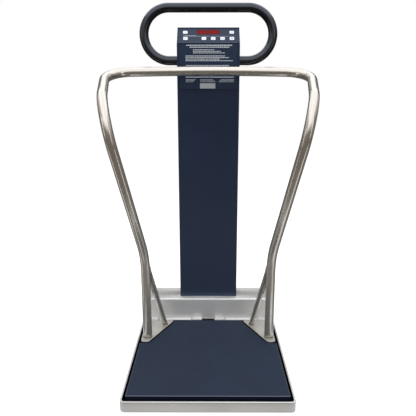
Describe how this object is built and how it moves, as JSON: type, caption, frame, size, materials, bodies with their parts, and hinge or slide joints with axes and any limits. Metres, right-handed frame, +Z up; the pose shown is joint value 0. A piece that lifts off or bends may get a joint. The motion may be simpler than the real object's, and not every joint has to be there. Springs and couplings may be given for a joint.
{
  "type": "stand-on patient scale",
  "caption": "Stand-on patient scale: low platform in a steel tray, bent stainless grab rail on the platform, slim display column with sloped keypad and a ring-shaped push handle.",
  "frame": {"origin": "on the floor, under the middle of the whole scale's bounding box", "axes": "+Z up; -Y is the front, where the patient steps on; +Y runs to the display column and the transport wheels; +X is to the right of someone who faces the display"},
  "size_m": [0.8472, 0.76, 1.4607],
  "materials": {
    "brushed_steel": "brushed stainless sheet",
    "rail_steel": "polished stainless tube",
    "navy_paint": "satin dark navy powder coat",
    "navy_panel": "matt slate blue overlay",
    "column_foot": "satin slate blue powder coat",
    "mat_rubber": "finely textured dark navy rubber",
    "black_grip": "smooth black grip sleeve",
    "clamp_black": "black moulded clamp",
    "black_rubber": "black rubber",
    "aluminium": "bare aluminium",
    "key_plastic": "off-white key caps",
    "red_window": "dark red tinted window",
    "circuit_board": "green board",
    "battery_wrap": "blue wrap",
    "hub_plastic": "grey moulded hub",
    "socket_plastic": "black socket",
    "cable_sheath": "black cable sheath"
  },
  "bodies": {
    "base": {"base_frame": "brushed_steel", "rubber_foot_front_left": "black_rubber", "rubber_foot_front_right": "black_rubber", "rubber_foot_rear_left": "black_rubber", "rubber_foot_rear_right": "black_rubber", "load_cell_front_left": "aluminium", "load_cell_front_right": "aluminium", "load_cell_rear_left": "aluminium", "load_cell_rear_right": "aluminium", "rear_housing": "brushed_steel", "hold_down_clip_inner_left": "brushed_steel", "hold_down_clip_inner_right": "brushed_steel", "hold_down_clip_outer_left": "brushed_steel", "hold_down_clip_outer_right": "brushed_steel", "clip_screw_inner_left": "rail_steel", "clip_screw_inner_right": "rail_steel", "clip_screw_outer_left": "rail_steel", "clip_screw_outer_right": "rail_steel", "column_base": "column_foot", "column_shell": "navy_paint", "column_cover": "navy_paint", "label_plate": "navy_panel", "key_panel": "navy_panel", "display_window": "red_window", "display_board": "circuit_board", "main_board": "circuit_board", "battery_pack": "battery_wrap", "charger_socket": "socket_plastic", "cell_cable": "cable_sheath", "handle_tube": "aluminium", "handle_grip": "black_grip", "handle_clamp_left": "clamp_black", "handle_clamp_right": "clamp_black", "wheel_bracket_left": "brushed_steel", "wheel_bracket_right": "brushed_steel", "wheel_axle_left": "rail_steel", "wheel_axle_right": "rail_steel"},
    "platform": {"load_plate": "navy_paint", "platform_mat": "mat_rubber", "gusset_plate_left": "brushed_steel", "gusset_plate_right": "brushed_steel", "gusset_screw_front_left": "rail_steel", "gusset_screw_front_right": "rail_steel", "gusset_screw_inner_left": "rail_steel", "gusset_screw_inner_right": "rail_steel", "grab_rail": "rail_steel", "rail_brace_left": "rail_steel", "rail_brace_right": "rail_steel"},
    "wheel_left": {"wheel_hub_left": "hub_plastic", "wheel_tyre_left": "black_rubber"},
    "wheel_right": {"wheel_hub_right": "hub_plastic", "wheel_tyre_right": "black_rubber"},
    "key_upper_1": {"key_upper_1": "key_plastic"},
    "key_upper_2": {"key_upper_2": "key_plastic"},
    "key_lower_1": {"key_lower_1": "key_plastic"},
    "key_lower_2": {"key_lower_2": "key_plastic"},
    "key_lower_3": {"key_lower_3": "key_plastic"},
    "key_lower_4": {"key_lower_4": "key_plastic"},
    "key_lower_5": {"key_lower_5": "key_plastic"}
  },
  "joints": [
    {"name": "platform_sink", "type": "slide", "parent": "base", "child": "platform", "axis": [0, 0, 1], "range_m": [-0.0008, 0], "stiffness_N_per_m": 300000, "springref_m": 0.00055},
    {"name": "wheel_left_spin", "type": "hinge", "parent": "base", "child": "wheel_left", "pos_m": [-0.235, 0.342, 0.041], "axis": [1, 0, 0], "continuous": true},
    {"name": "wheel_right_spin", "type": "hinge", "parent": "base", "child": "wheel_right", "pos_m": [0.235, 0.342, 0.041], "axis": [1, 0, 0], "continuous": true},
    {"name": "key_upper_1_press", "type": "slide", "parent": "base", "child": "key_upper_1", "axis": [0, -0.7125, 0.7017], "range_m": [-0.0008, 0], "stiffness_N_per_m": 800},
    {"name": "key_upper_2_press", "type": "slide", "parent": "base", "child": "key_upper_2", "axis": [0, -0.7125, 0.7017], "range_m": [-0.0008, 0], "stiffness_N_per_m": 800},
    {"name": "key_lower_1_press", "type": "slide", "parent": "base", "child": "key_lower_1", "axis": [0, -0.7125, 0.7017], "range_m": [-0.0008, 0], "stiffness_N_per_m": 800},
    {"name": "key_lower_2_press", "type": "slide", "parent": "base", "child": "key_lower_2", "axis": [0, -0.7125, 0.7017], "range_m": [-0.0008, 0], "stiffness_N_per_m": 800},
    {"name": "key_lower_3_press", "type": "slide", "parent": "base", "child": "key_lower_3", "axis": [0, -0.7125, 0.7017], "range_m": [-0.0008, 0], "stiffness_N_per_m": 800},
    {"name": "key_lower_4_press", "type": "slide", "parent": "base", "child": "key_lower_4", "axis": [0, -0.7125, 0.7017], "range_m": [-0.0008, 0], "stiffness_N_per_m": 800},
    {"name": "key_lower_5_press", "type": "slide", "parent": "base", "child": "key_lower_5", "axis": [0, -0.7125, 0.7017], "range_m": [-0.0008, 0], "stiffness_N_per_m": 800}
  ]
}
